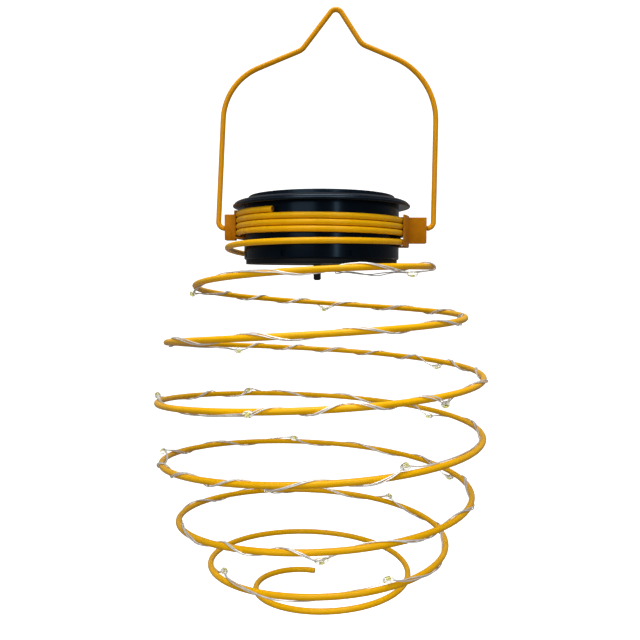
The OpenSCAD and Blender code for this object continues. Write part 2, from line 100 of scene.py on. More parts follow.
# %% Camera at the lantern's upper third
EYE = place((8.6, -306.0, -38.0))
PAN, NOD, LEAN = math.radians(1.71), math.radians(-0.75), math.radians(0.21)
lens_of_view = bpy.data.cameras.new("lantern_camera")
lens_of_view.lens = 37.5
lens_of_view.sensor_width = 36.0
lens_of_view.clip_start = 0.01
camera = bpy.data.objects.new("lantern_camera", lens_of_view)
camera.matrix_world = (
    Matrix.Translation(EYE)
    @ Matrix.Rotation(PAN, 4, "Z")
    @ Matrix.Rotation(math.radians(90) + NOD, 4, "X")
    @ Matrix.Rotation(LEAN, 4, "Z")
)
bpy.context.scene.collection.objects.link(camera)
bpy.context.scene.camera = camera
print("camera at", [round(v, 3) for v in EYE])

# %% [markdown]
# ## Studio
# Wire shows its roundness only through the light that runs along it. A large
# soft light above gives the bright upper line, a weaker one in front fills
# the middle, and the underside is left to fall off to a deeper orange. A
# narrow strip to the right draws one upright line on the black cup. The
# floor and the back wall are one white sweep, so no edge crosses the view.
# The sweep glows a little by itself and throws no light back: a lit one
# would fill the undersides, and the wire would look flat. The plain view
# transform keeps the coat's strong orange, which a filmic one would bleach.


# %% Floor and back wall as one sweep
def sweep_stage(floor_z, wall_y, width, front_y):
    """A floor that curves up into a wall."""
    bend = 0.5
    profile = [(front_y, floor_z), (wall_y - bend, floor_z)]
    steps = 12
    for i in range(1, steps + 1):
        a = math.pi / 2 * i / steps
        profile.append((wall_y - bend + bend * math.sin(a), floor_z + bend - bend * math.cos(a)))
    profile.append((wall_y, floor_z + 3.0))
    verts = [(x, y, z) for y, z in profile for x in (-width, width)]
    faces = [(2 * i, 2 * i + 1, 2 * i + 3, 2 * i + 2) for i in range(len(profile) - 1)]
    mesh = bpy.data.meshes.new("studio_sweep")
    mesh.from_pydata(verts, [], faces)
    mesh.shade_smooth()
    sweep = bpy.data.objects.new("studio_sweep", mesh)
    bpy.context.scene.collection.objects.link(sweep)
    return sweep


studio = sweep_stage(floor_z=-0.46, wall_y=1.6, width=3.0, front_y=-2.5)
paper = bpy.data.materials.new("studio_paper")
paper.use_nodes = True
paper_shader = paper.node_tree.nodes["Principled BSDF"]
paper_shader.inputs["Base Color"].default_value = (0.93, 0.93, 0.93, 1)
paper_shader.inputs["Roughness"].default_value = 0.9
paper_shader.inputs["Emission Color"].default_value = (1, 1, 1, 1)
paper_shader.inputs["Emission Strength"].default_value = 0.8
studio.data.materials.append(paper)
studio.visible_diffuse = False
studio.visible_glossy = False


# %% Lights
def soft_light(name, spot, aim, size, power, tall=None):
    """An area light that faces a point; a tall one is a strip."""
    data = bpy.data.lights.new(name, "AREA")
    data.size = size
    if tall:
        data.shape = "RECTANGLE"
        data.size_y = tall
    data.energy = power
    lamp = bpy.data.objects.new(name, data)
    lamp.location = spot
    way = Vector(aim) - Vector(spot)
    lamp.rotation_euler = way.to_track_quat("-Z", "Y").to_euler()
    bpy.context.scene.collection.objects.link(lamp)
    return lamp


MIDDLE = (AXIS_X * MM, 0.0, -0.14)
soft_light("top_light", (0.0, -0.25, 1.1), MIDDLE, 0.9, 19)
soft_light("front_fill", (-0.6, -1.3, 0.25), MIDDLE, 0.9, 6)
soft_light("right_strip", (0.41, -1.0, -0.1), MIDDLE, 0.06, 1.6, tall=0.7)
world = bpy.data.worlds.new("studio_air")
bpy.context.scene.world = world
world.use_nodes = True
world.node_tree.nodes["Background"].inputs["Color"].default_value = (1, 1, 1, 1)
world.node_tree.nodes["Background"].inputs["Strength"].default_value = 0.21
bpy.context.scene.view_settings.view_transform = "Standard"

# %% [markdown]
# ## Finishes
# Each finish is built from one principled shader. What is the same all over,
# such as the gloss or the metal, is set on the shader itself. What varies
# comes from noise in the object's own space: a faint drift in colour, an
# uneven gloss, and a bump at the grain's real size.


# %% A finish with drifting colour, uneven gloss and a grain
def finish(name, colour, rough, metal=0.0, drift=0.06, drift_size=12.0, grain=0.0, grain_size=0.6,
           rough_spread=0.06, coat=0.0, shine=0.5, cast=(1.0, 1.0, 1.0)):
    """Sizes are in millimetres; grain is the bump's height and cast tints what the surface mirrors."""
    mat = bpy.data.materials.new(name)
    mat.use_nodes = True
    nodes, links = mat.node_tree.nodes, mat.node_tree.links
    shader = nodes["Principled BSDF"]
    shader.inputs["Metallic"].default_value = metal
    shader.inputs["Specular IOR Level"].default_value = shine
    shader.inputs["Specular Tint"].default_value = (*cast, 1)
    shader.inputs["Coat Weight"].default_value = coat
    shader.inputs["Coat Roughness"].default_value = 0.12
    spot = nodes.new("ShaderNodeTexCoord")
    wide = nodes.new("ShaderNodeTexNoise")
    wide.inputs["Scale"].default_value = 1.0 / (drift_size * MM)
    wide.inputs["Detail"].default_value = 4.0
    links.new(spot.outputs["Object"], wide.inputs["Vector"])
    tint = nodes.new("ShaderNodeValToRGB")
    tint.color_ramp.elements[0].position = 0.3
    tint.color_ramp.elements[1].position = 0.7
    low = [c * (1 - drift) for c in colour]
    high = [min(c * (1 + drift), 1.0) for c in colour]
    tint.color_ramp.elements[0].color = (*low, 1)
    tint.color_ramp.elements[1].color = (*high, 1)
    links.new(wide.outputs["Fac"], tint.inputs["Fac"])
    links.new(tint.outputs["Color"], shader.inputs["Base Color"])
    gloss = nodes.new("ShaderNodeMapRange")
    gloss.inputs["To Min"].default_value = max(rough - rough_spread, 0.02)
    gloss.inputs["To Max"].default_value = rough + rough_spread
    links.new(wide.outputs["Fac"], gloss.inputs["Value"])
    links.new(gloss.outputs["Result"], shader.inputs["Roughness"])
    if grain:
        fine = nodes.new("ShaderNodeTexNoise")
        fine.inputs["Scale"].default_value = 1.0 / (grain_size * MM)
        fine.inputs["Detail"].default_value = 2.0
        links.new(spot.outputs["Object"], fine.inputs["Vector"])
        bump = nodes.new("ShaderNodeBump")
        bump.inputs["Strength"].default_value = 1.0
        bump.inputs["Distance"].default_value = grain * MM
        links.new(fine.outputs["Fac"], bump.inputs["Height"])
        links.new(bump.outputs["Normal"], shader.inputs["Normal"])
    return mat


# %% [markdown]
# Powder coat is baked resin powder. It flows almost smooth, and a slight
# orange peel stays in it. It is a saturated orange yellow that goes towards
# brown in shade, with a soft, broad highlight. The sheet clips have the same
# coat, but their colour is set darker and browner: painted shade for flat
# faces that turn away from the light.

# %% Yellow coats and the bare cut end
YELLOW = (0.90, 0.46, 0.001)
WARM = (1.0, 0.82, 0.42)
spiral_coat = finish("spiral_coat", YELLOW, 0.27, drift=0.05, grain=0.012, grain_size=0.7, shine=0.3,
                     cast=WARM)
handle_coat = finish("handle_coat", (0.74, 0.31, 0.001), 0.32, drift=0.06, grain=0.012, grain_size=0.7,
                     shine=0.25, cast=WARM)
# The clips' darker, browner base colour is painted shade for their flat faces turned away from the light.
clip_coat_painted_shade = finish("clip_coat_painted_shade", (0.50, 0.17, 0.0005), 0.42, drift=0.12, drift_size=3.0, grain=0.04,
                   grain_size=0.9, shine=0.25, cast=(1.0, 0.7, 0.2))
cut_end = finish("cut_end", (0.38, 0.17, 0.03), 0.5, metal=0.4, drift=0.25, drift_size=0.8)
print("yellow coats ready")

# %% [markdown]
# The solar unit is moulded in black plastic with a faint blue cast. It is
# smooth enough to mirror a light as a narrow bright band, and rough enough
# to blur it.

# %% Black mouldings, clear resin and small metal
COOL = (0.45, 0.72, 1.0)
shell_black = finish("shell_black", (0.0025, 0.005, 0.010), 0.26, drift=0.2, drift_size=9.0, grain=0.004,
                     grain_size=0.5, rough_spread=0.06, shine=0.2, cast=COOL)
cup_black = finish("cup_black", (0.0015, 0.0035, 0.0075), 0.20, drift=0.2, drift_size=14.0, grain=0.003,
                   grain_size=0.6, rough_spread=0.04, shine=0.14, cast=COOL)
cover_black = finish("cover_black", (0.004, 0.005, 0.007), 0.48, drift=0.15, grain=0.02, grain_size=0.35,
                     shine=0.15)
button_black = finish("button_black", (0.004, 0.004, 0.005), 0.35, drift=0.2, drift_size=2.0,
                      grain=0.004, grain_size=0.3, shine=0.3)
rubber_black = finish("rubber_black", (0.012, 0.012, 0.012), 0.65, drift=0.15, grain=0.01, grain_size=0.3)
silver = finish("silver", (0.86, 0.85, 0.82), 0.22, metal=1.0, drift=0.10, drift_size=3.0)
strand_silver = finish("strand_silver", (0.93, 0.91, 0.86), 0.30, metal=0.45, drift=0.12, drift_size=2.0)
zinc = finish("zinc", (0.62, 0.63, 0.65), 0.33, metal=1.0, drift=0.12, drift_size=2.0, grain=0.01,
              grain_size=0.4)
nickel = finish("nickel", (0.70, 0.67, 0.60), 0.25, metal=1.0, drift=0.08, drift_size=3.0)


def clear(name, tint, rough, ior, cloud=0.0):
    """A see-through resin; what varies is only its slight cloudiness."""
    mat = finish(name, tint, rough, drift=0.02, drift_size=3.0, rough_spread=0.02)
    shader = mat.node_tree.nodes["Principled BSDF"]
    shader.inputs["Transmission Weight"].default_value = 1.0 - cloud
    shader.inputs["IOR"].default_value = ior
    return mat


window_resin = clear("window_resin", (0.93, 0.96, 0.98), 0.06, 1.49)
drop_resin = clear("drop_resin", (0.97, 0.98, 0.93), 0.05, 1.52, cloud=0.06)
phosphor = finish("phosphor", (0.80, 0.76, 0.22), 0.55, drift=0.2, drift_size=0.6)
print(len(bpy.data.materials), "materials so far")

# %% [markdown]
# ## Drawing wire
# A curve with a bevel is the usual way to draw wire. Here each tube is made
# ring by ring instead, because its ends then get a real cut face with a
# small rounded edge, and the mesh that is kept is exactly the one drawn.
# The rings are turned by carrying one direction along the wire, so they
# never twist.


# %% A round tube along points
def tube_geometry(points, radius, sides, first_side=Vector((0, 0, 1))):
    """Vertices, faces and the two end faces of a tube with eased ends; all in metres."""
    count = len(points)
    ways = [(points[min(i + 1, count - 1)] - points[max(i - 1, 0)]).normalized() for i in range(count)]
    ease = radius * 0.22
    stations = [(points[0] - ways[0] * 0.0, ways[0], radius - ease)]
    stations.append((points[0] + ways[0] * ease, ways[0], radius))
    stations += [(points[i], ways[i], radius) for i in range(1, count - 1)]
    stations.append((points[-1] - ways[-1] * ease, ways[-1], radius))
    stations.append((points[-1], ways[-1], radius - ease))
    side = first_side
    verts, faces = [], []
    for spot, way, r in stations:
        side = (side - way * side.dot(way)).normalized()
        other = way.cross(side)
        for j in range(sides):
            a = 2 * math.pi * j / sides
            verts.append(spot + side * (r * math.cos(a)) + other * (r * math.sin(a)))
    for i in range(len(stations) - 1):
        for j in range(sides):
            a, b = i * sides + j, i * sides + (j + 1) % sides
            faces.append((a, b, b + sides, a + sides))
    last = (len(stations) - 1) * sides
    ends = [tuple(range(sides - 1, -1, -1)), tuple(range(last, last + sides))]
    return verts, faces, ends


def wire(name, runs, radius, sides, coat, end_coat, body, first_side=Vector((0, 0, 1))):
    """One object from one or more runs of wire."""
    verts, faces, end_faces = [], [], []
    for points in runs:
        v, f, e = tube_geometry(points, radius, sides, first_side)
        base = len(verts)
        verts += v
        faces += [tuple(base + k for k in face) for face in f]
        end_faces += [tuple(base + k for k in face) for face in e]
    mesh = bpy.data.meshes.new(name)
    mesh.from_pydata([tuple(v) for v in verts], [], faces + end_faces)
    mesh.materials.append(coat)
    mesh.materials.append(end_coat)
    for i, poly in enumerate(mesh.polygons):
        poly.use_smooth = i < len(faces)
        poly.material_index = 0 if i < len(faces) else 1
    piece = bpy.data.objects.new(name, mesh)
    bpy.context.scene.collection.objects.link(piece)
    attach(piece, body)
    return piece


# %% [markdown]
# ## The spiral wire
# The spiral is a rule and not a drawing. The pitch is one wire thickness and
# a hair in the collar, opens out over the shoulder, and closes again towards
# the foot. The radius follows a barrel profile. A station counts half turns:
# 0 is on the right, 1 on the left, and the wire runs round the front first.
# The collar tips forward with the unit that it grips, and leans a little to
# the right; both fade out in the first free turn.

# %% The spiral's centre line
FIRST, LAST = -9.33, 13.45
RINGS_HALF = 20
OPEN_FROM, OPEN_OVER = -3.5, 6.0
CLOSE_FROM, CLOSE_OVER, CLOSE_BY = 7.5, 5.9, 0.64
START_Z = 5.3
LEAVE_AT, LEAVE_OVER, TILT_OVER = -1.85, 0.8, 2.4
COLLAR_LEAN = math.radians(1.3)


def smooth(x):
    u = min(max(x, 0.0), 1.0)
    return u * u * (3 - 2 * u)


def half_drop(s):
    """How far the wire falls in a half turn at this station."""
    opened = COLLAR_PITCH + (BELLY_PITCH - COLLAR_PITCH) * smooth((s - OPEN_FROM) / OPEN_OVER)
    return opened / 2 * (1 - CLOSE_BY * smooth((s - CLOSE_FROM) / CLOSE_OVER))


def barrel_r(z):
    """The barrel profile."""
    h = z + BELLY_DROP
    pole, full = (UPPER_H, UPPER_FULL) if h > 0 else (LOWER_H, LOWER_FULL)
    share = min(abs(h) / pole, 1.0)
    return BELLY_D / 2 * (1 - share ** full) ** (1 / full)


def coil_r(z, s):
    """The collar is a straight drum, and the wire eases out of it to the profile."""
    if z + BELLY_DROP <= 0:
        return barrel_r(z)
    return COLLAR_R + (max(COLLAR_R, barrel_r(z)) - COLLAR_R) * smooth((s - LEAVE_AT) / LEAVE_OVER)


RING_COUNT = round((LAST - FIRST) * RINGS_HALF)
heights = [START_Z]
for i in range(1, RING_COUNT + 1):
    heights.append(heights[-1] - half_drop(FIRST + (i - 0.5) / RINGS_HALF) / RINGS_HALF)


def height_at(s):
    p = (s - FIRST) * RINGS_HALF
    i = min(int(p), RING_COUNT - 1)
    return heights[i] + (heights[i + 1] - heights[i]) * (p - i)


def wire_at(s):
    """A point of the spiral's centre line, in millimetres."""
    z = height_at(s)
    r = coil_r(z, s)
    hold = 1 - smooth((s - LEAVE_AT) / TILT_OVER)
    x, y = r * math.cos(math.pi * s), -r * math.sin(math.pi * s)
    return tipped((x, y, z - hold * x * math.tan(COLLAR_LEAN)), hold)


print("lowest turn", round(heights[-1], 1), "mm below the pivots")

# %% The spiral itself
FINE = 44
fine_count = round((LAST - FIRST) * FINE)
spiral_line = [place(wire_at(FIRST + (LAST - FIRST) * i / fine_count)) for i in range(fine_count + 1)]
spiral = wire("spiral", [spiral_line], COIL_WIRE / 2 * MM, 16, spiral_coat, cut_end, "lantern")
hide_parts("spiral_wire")
length = sum((b - a).length for a, b in zip(spiral_line, spiral_line[1:]))
print("spiral wire", round(length, 3), "m of", COIL_WIRE, "mm wire")

# %% [markdown]
# ## The handle
# The handle is bent by hand from thinner wire: two legs, two shoulders, a
# kink where each shoulder turns up, and a pointed peak for the hook. Corners
# joined by arcs are the natural way to say that.

# %% Handle corners and bends
SADDLE_IN = COLLAR_R + COIL_WIRE / 2 + GAP
REACH_LEFT, REACH_RIGHT = SADDLE_IN + 4.95, SADDLE_IN + 8.45
HEAD_T, FOOT_GAP = 0.8, 0.4
PEAK_OVER = 0.731
leg_left = REACH_LEFT + FOOT_GAP + FOOT_BEND
leg_right = REACH_RIGHT + FOOT_GAP + FOOT_BEND
corners = [
    (-REACH_LEFT + CLIP_T + GAP + HEAD_T, 0, 0),
    (-leg_left, 0, FOOT_BEND),
    (2.9 - leg_left, HANDLE_RISE - 31.5, 26),
    (-9.2, HANDLE_RISE - 17, 7),
    (PEAK_SHIFT, HANDLE_RISE + HANDLE_WIRE / 2 + PEAK_OVER * 3, 3),
    (18, HANDLE_RISE - 14.6, 7),
    (leg_right + 1.2, HANDLE_RISE - 29.2, 31),
    (leg_right, 0, FOOT_BEND),
    (REACH_RIGHT - CLIP_T - GAP - HEAD_T, 0, 0),
]


def bend(i, step=3.0):
    """Points of the arc that rounds corner i, in the handle's plane."""
    before, here, after = (Vector(corners[k][:2]) for k in (i - 1, i, i + 1))
    way_in, way_out = (here - before).normalized(), (after - here).normalized()
    turn = math.atan2(way_in.x * way_out.y - way_in.y * way_out.x, way_in.dot(way_out))
    radius = corners[i][2]
    start = here - way_in * radius * math.tan(abs(turn) / 2)
    side = math.copysign(1, turn)
    centre = start + Vector((-way_in.y, way_in.x)) * side * radius
    arm = start - centre
    n = max(4, math.ceil(math.degrees(abs(turn)) / step))
    return [centre + Matrix.Rotation(turn * k / n, 2) @ arm for k in range(n + 1)]


handle_flat = [p for i in range(1, len(corners) - 1) for p in bend(i)]
handle_line = [place((p.x, 0, p.y)) for p in handle_flat]
handle = wire("handle_wire", [handle_line], HANDLE_WIRE / 2 * MM, 20, handle_coat, cut_end,
              "handle", Vector((0, 1, 0)))
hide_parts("handle")
print("handle wire", round(sum((b - a).length for a, b in zip(handle_line, handle_line[1:])), 3), "m")

# %% [markdown]
# Each foot of the handle ends in a thinner pin with a flattened head, which
# sits in a hole in the clip's end wall. The head is what stops the foot from
# slipping out when the handle is squeezed.

# %% Handle pins
PIN_D = 2.0


def turned(name, profile, spot, way, sides, coat, body):
    """A solid of revolution; the profile is a list of (radius, distance along way)."""
    verts, faces = [], []
    turn = way.to_track_quat("Z", "Y").to_matrix()
    for r, h in profile:
        for j in range(sides):
            a = 2 * math.pi * j / sides
            local = Vector((r * math.cos(a), r * math.sin(a), h))
            verts.append(place(spot + turn @ local))
    for i in range(len(profile) - 1):
        for j in range(sides):
            a, b = i * sides + j, i * sides + (j + 1) % sides
            faces.append((a, b, b + sides, a + sides))
    last = (len(profile) - 1) * sides
    faces.append(tuple(range(sides - 1, -1, -1)))
    faces.append(tuple(range(last, last + sides)))
    mesh = bpy.data.meshes.new(name)
    mesh.from_pydata([tuple(v) for v in verts], [], faces)
    mesh.materials.append(coat)
    for poly in mesh.polygons:
        poly.use_smooth = len(poly.vertices) == 4
    mesh.set_sharp_from_angle(angle=math.radians(40))
    piece = bpy.data.objects.new(name, mesh)
    bpy.context.scene.collection.objects.link(piece)
    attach(piece, body)
    return piece


for side, reach in ((-1, REACH_LEFT), (1, REACH_RIGHT)):
    foot = Vector((side * (reach + FOOT_GAP - 0.3), 0, 0))
    shank = FOOT_GAP - 0.3 + CLIP_T + GAP
    head = [(PIN_D / 2, 0), (PIN_D / 2, shank), (PIN_D / 2 + 0.75, shank), (PIN_D / 2 + 0.9, shank + 0.15),
            (PIN_D / 2 + 0.9, shank + 0.5), (PIN_D / 2 + 0.6, shank + HEAD_T), (0.05, shank + HEAD_T)]
    turned("pin_left" if side < 0 else "pin_right", head, foot, Vector((-side, 0, 0)), 24, handle_coat,
           "handle")
print("two pins of", PIN_D, "mm")

# %% [markdown]
# ## The light string
# The string is two bare strands of fine enamelled wire that run side by side
# and share one current loop with the lights. They are wound round the spiral
# by hand: the hand speeds up, slows, and now and then turns back. Winding is
# still a rule: a point that circles the spiral's centre line while it moves
# along it. The list says how many times it has gone round by a station.

# %% Winding rule of the string
WOUND_BY = [
    (0, -0.5), (0.1, -0.75), (0.59, -2.75), (1, -3.6), (1.16, -3.25), (1.53, -0.3), (2.05, 2.9),
    (2.21, 2.25), (2.76, -0.75), (3.05, -1.7), (3.29, -1.4), (3.74, 2.95), (4.02, 0.6), (4.27, -0.5),
    (4.45, -2.1), (4.59, -0.75), (5.12, 0.4), (5.35, 2.25), (5.78, -0.45), (6.05, -1.3), (6.35, -1),
    (6.54, 0.25), (7, 4.1), (8, -1.2), (8.49, -3.5), (8.77, -5.75), (9, -6.6), (9.7, -10), (10, -11.2),
    (11, -13.6),
]
STRAND_D = 0.5
STRING_START, STRING_END = 0.02, 10.99


def phase(s):
    """The angle round the spiral wire, from straight outward."""
    for (s0, n0), (s1, n1) in zip(WOUND_BY, WOUND_BY[1:]):
        if s <= s1:
            break
    return math.radians(360 * (n0 + (n1 - n0) * (s - s0) / (s1 - s0)) - 90)


def string_frame(s):
    """The spiral's point, the way along it, and the string's way out and way round at a station."""
    p = wire_at(s)
    along = (wire_at(s + 0.01) - wire_at(s - 0.01)).normalized()
    flat = Vector((p.x, p.y, 0))
    out = (flat - along * flat.dot(along)).normalized()
    up = out.cross(along)
    a = phase(s)
    return p, along, out * math.cos(a) + up * math.sin(a), up * math.cos(a) - out * math.sin(a)


def beside_wire(s, off, shift=0.0):
    """A point off from the centre line, and shifted along the wire."""
    p, along, outward, _ = string_frame(s)
    return p + outward * off + along * shift


turns = sum(abs(b[1] - a[1]) for a, b in zip(WOUND_BY, WOUND_BY[1:]))
print("the string goes", round(turns, 1), "times round the spiral")

# %% [markdown]
# A strand is never quite straight or quite flat on the wire it is wound on.
# Each of the two wanders a little, and both lift off the wire at every light
# and run through the drop that is moulded round them. Whoever winds the
# string places the lights by eye, so their stations are a plain list, and
# the lift is a smooth bump at each of them.

# %% Strands wound round the spiral
LIGHT_STATIONS = [1, 1.5, 2, 3.27, 3.8, 4.27, 4.6, 4.93, 5.3, 5.78, 6.35, 7, 7.42, 7.87, 8.49, 9.33, 9.7,
                  10.33, 10.8]
STRAND_OFF = COIL_WIRE / 2 + STRAND_D / 2 + 0.04
DROP_LIFT = 1.45
DROP_SPREAD = 0.016


def lift_at(s):
    """How far the strands stand off the spiral because a light is near."""
    near = min(LIGHT_STATIONS, key=lambda light: abs(light - s))
    return DROP_LIFT * math.exp(-((s - near) / DROP_SPREAD) ** 2 / 2)


def strand_point(s, side):
    """A point on one of the two strands; side is -1 or 1."""
    here = beside_wire(s, STRAND_OFF)
    way = (beside_wire(s + 0.002, STRAND_OFF) - here).normalized()
    outward = string_frame(s)[2]
    across = way.cross(outward).normalized()
    wander = 0.10 * math.sin(41 * s + 1.7 * side) + 0.07 * math.sin(97 * s - side)
    apart = STRAND_D / 2 + 0.02 + 0.06 * (1 + math.sin(63 * s + side))
    off_wire = lift_at(s) + 0.10 * (1 + math.sin(29 * s + 2.1 * side))
    return here + across * (side * apart + wander) + outward * off_wire


def eased_line(points, between):
    """Points on one smooth curve through the given ones."""
    line = []
    for i in range(len(points) - 1):
        a, b = points[max(i - 1, 0)], points[i]
        c, d = points[i + 1], points[min(i + 2, len(points) - 1)]
        for k in range(between):
            t = k / between
            line.append(0.5 * (2 * b + (c - a) * t + (2 * a - 5 * b + 4 * c - d) * t * t
                               + (3 * b - a - 3 * c + d) * t ** 3))
    return line + [points[-1]]


COVER_LOW = 9.5 - 24.0 - 2.0
STRING_AT = (6.2, 10.0)
lead_route = [
    (*STRING_AT, 1.5), (*STRING_AT, -1), (*STRING_AT, -2.4), (6.9, 9.9, -3.2), (9.4, 9.4, -3.8),
    (14, 8.2, -4.1), (20, 7, -4.2), (26, 5.6, -4.2), (32, 4, -4), (37.5, 2.6, -3.7), (42, 1.6, -3.5),
    (45.5, 0.8, -3.5),
]
lead_points = [tipped((x, y, COVER_LOW + h)) for x, y, h in lead_route]
lead_line = eased_line(lead_points, 4)
STRAND_STEPS = 132
strand_count = round((STRING_END - STRING_START) * STRAND_STEPS)
strands = []
for side in (-1, 1):
    run = []
    for i, p in enumerate(lead_line[:-3]):
        share = i / (len(lead_line) - 4)
        free = min(1.0, 4 * share) * min(1.0, 4 * (1 - share))
        turn = 2.2 * share + 1.6 * free * math.sin(9 * share)
        swing_side = Vector((0, math.cos(turn), math.sin(turn)))
        wave = Vector((0, 0.3 * math.cos(14 * share), 0.55 * math.sin(17 * share))) * free
        run.append(p + wave + swing_side * side * (STRAND_D / 2 + 0.03 + 0.22 * free))
    run += [strand_point(STRING_START + i / STRAND_STEPS, side) for i in range(strand_count + 1)]
    strands.append([place(p) for p in run])
string = wire("light_strands", strands, STRAND_D / 2 * MM, 8, strand_silver, nickel, "lantern")
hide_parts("light_string")
strand_length = sum((b - a).length for a, b in zip(strands[0], strands[0][1:]))
print("each strand is", round(strand_length, 2), "m long and carries", len(LIGHT_STATIONS), "lights")

# %% [markdown]
# A light is a chip the size of a sand grain, soldered across the two strands
# and sealed in a bead of clear resin. The bead is longest along the strands,
# where the resin crept along them before it set. Each one is a turned form
# whose middle is pushed about a little, so that no two are the same.

# %% Resin drops and their chips
DROP_D, DROP_L = 3.0, 5.4


def light_seat(s):
    """A light's middle, the way along its strands, its way out and the way across."""
    middle = (strand_point(s, -1) + strand_point(s, 1)) / 2
    along = (beside_wire(s + 0.006, STRAND_OFF) - beside_wire(s - 0.006, STRAND_OFF)).normalized()
    outward = string_frame(s)[2]
    return middle, along, outward, along.cross(outward).normalized()


LEAD_LIGHT = 10
lead_seat = (lead_points[LEAD_LIGHT] - Vector((0, 0, 0.9)), Vector((1, 0, 0)), Vector((0, 0, -1)),
             Vector((0, 1, 0)))
seats = [lead_seat] + [light_seat(s) for s in LIGHT_STATIONS]


def drop_shape(seat, seed):
    """Vertices and faces of one bead, in metres."""
    rings, sides = 14, 20
    neck = 0.26
    middle, along, outward, across = seat
    length = DROP_L * (0.92 + 0.07 * math.sin(5.1 * seed))
    verts, faces = [], []
    for i in range(rings + 1):
        a = math.pi * i / rings
        at = -math.cos(a) * length / 2
        r = max((DROP_D / 2 - 0.08) * math.sin(a) ** 0.85, neck * DROP_D / 2 * (1 if 0 < i < rings else 0.8))
        for j in range(sides):
            b = 2 * math.pi * j / sides
            swell = 1 + 0.05 * math.sin(2 * b + 1.9 * seed) * math.sin(a)
            spot = middle + along * at + outward * (r * swell * math.cos(b))
            spot = spot + across * (r * swell * math.sin(b))
            verts.append(place(spot))
    for i in range(rings):
        for j in range(sides):
            a, b = i * sides + j, i * sides + (j + 1) % sides
            faces.append((a, b, b + sides, a + sides))
    last = rings * sides
    faces.append(tuple(range(sides - 1, -1, -1)))
    faces.append(tuple(range(last, last + sides)))
    return verts, faces


def chip_shape(seat):
    """A small block with cut corners that lies across the strands."""
    middle, along, outward, across = seat
    plan = [(-0.8, -0.45), (-0.65, -0.6), (0.65, -0.6), (0.8, -0.45), (0.8, 0.45), (0.65, 0.6), (-0.65, 0.6),
            (-0.8, 0.45)]
    layers = [(0.22, 1.0), (0.75, 1.0), (0.85, 0.85)]
    verts = [place(middle + outward * h + along * (x * k) + across * (y * k))
             for h, k in layers for x, y in plan]
    faces = [(i * 8 + j, i * 8 + (j + 1) % 8, i * 8 + 8 + (j + 1) % 8, i * 8 + 8 + j)
             for i in range(2) for j in range(8)]
    return verts, faces + [tuple(range(7, -1, -1)), tuple(range(16, 24))]


def joined(name, shapes, coat, body, smooth_angle=60):
    """One object from many small closed shapes, with faces turned outward."""
    shape = bmesh.new()
    for verts, faces in shapes:
        made = [shape.verts.new(v) for v in verts]
        for face in faces:
            shape.faces.new([made[k] for k in face])
    bmesh.ops.recalc_face_normals(shape, faces=shape.faces)
    mesh = bpy.data.meshes.new(name)
    shape.to_mesh(mesh)
    shape.free()
    mesh.materials.append(coat)
    mesh.shade_smooth()
    mesh.set_sharp_from_angle(angle=math.radians(smooth_angle))
    piece = bpy.data.objects.new(name, mesh)
    bpy.context.scene.collection.objects.link(piece)
    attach(piece, body)
    return piece


drops = joined("drops", [drop_shape(seat, i) for i, seat in enumerate(seats)], drop_resin, "lantern",
               80)
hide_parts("light_drops")
joined("chips", [chip_shape(seat) for seat in seats], phosphor, "lantern", 30)
print(len(seats), "drops, each with a chip")

# %% [markdown]
# ## The clips
# A clip is one strip of sheet, cut and folded round the collar's turns. The
# solids already have the right folds, so the visible clip starts as a copy
# of one. Its flat faces are merged and its edges are rounded, because the
# thin bright line along an edge is what makes folded sheet look like sheet.


# %% Copies with eased edges
def eased(node, name, ease, coat, body, steps=2, sharp_from=35):
    """A copy of a node's solid with its sharp edges rounded, which stands in for it."""
    shape = bmesh.new()
    shape.from_mesh(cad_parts[node].data)
    bmesh.ops.remove_doubles(shape, verts=shape.verts, dist=0.002 * MM)
    flat = math.radians(1)
    bmesh.ops.dissolve_limit(shape, angle_limit=flat, verts=shape.verts, edges=shape.edges)
    corner = math.radians(sharp_from)
    sharp = [e for e in shape.edges if len(e.link_faces) == 2 and e.calc_face_angle() > corner]
    bmesh.ops.bevel(shape, geom=sharp, offset=ease * MM, segments=steps, profile=0.5, affect="EDGES",
                    clamp_overlap=True)
    mesh = bpy.data.meshes.new(name)
    shape.to_mesh(mesh)
    shape.free()
    mesh.materials.clear()
    mesh.materials.append(coat)
    mesh.shade_smooth()
    mesh.set_sharp_from_angle(angle=math.radians(30))
    piece = bpy.data.objects.new(name, mesh)
    bpy.context.scene.collection.objects.link(piece)
    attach(piece, body)
    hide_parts(node)
    print(name, "has", len(mesh.polygons), "faces")
    return piece


# Both clips take the coat that has painted shade in its colour.
eased("left_clip", "clip_left", 0.16, clip_coat_painted_shade, "lantern")
eased("right_clip", "clip_right", 0.16, clip_coat_painted_shade, "lantern")

# %% [markdown]
# ## The solar unit
# The unit is turned in shape, so both of its shells are drawn as a section
# and spun. The brim falls away from the raised ring to a thin lip that
# throws rain clear of the joint. The ring's top edge is chamfered, and a
# small fillet joins it to the brim: that hollow corner holds a thin bright
# line of reflected light.

# %% Sections of the two shells
FLANGE_Z = 9.5
CUP_H, CUP_WALL = 24.0, 1.8
COVER_Z = FLANGE_Z - CUP_H
FLANGE_OUT = 5.0
BRIM_R = CUP_R + FLANGE_OUT
BRIM_H, RING_H, LIP_T = 2.7, 1.7, 1.3
RING_R = CUP_R - 2
WINDOW_R = RING_R - 2.4
TOP_Z = FLANGE_Z + BRIM_H + RING_H
SEAT_Z = TOP_Z - 1.4 - 0.8
LEDGE_R, POCKET_Z, FLOOR_T = 29.2, SEAT_Z - 1.65, 1.0
SPIGOT_R = CUP_R - CUP_WALL - 0.15


def arc(centre, radius, start, end, steps):
    """Section points on an arc; the angles are in degrees, 0 outward and 90 up."""
    around = [math.radians(start + (end - start) * i / steps) for i in range(steps + 1)]
    return [(centre[0] + radius * math.cos(a), centre[1] + radius * math.sin(a)) for a in around]


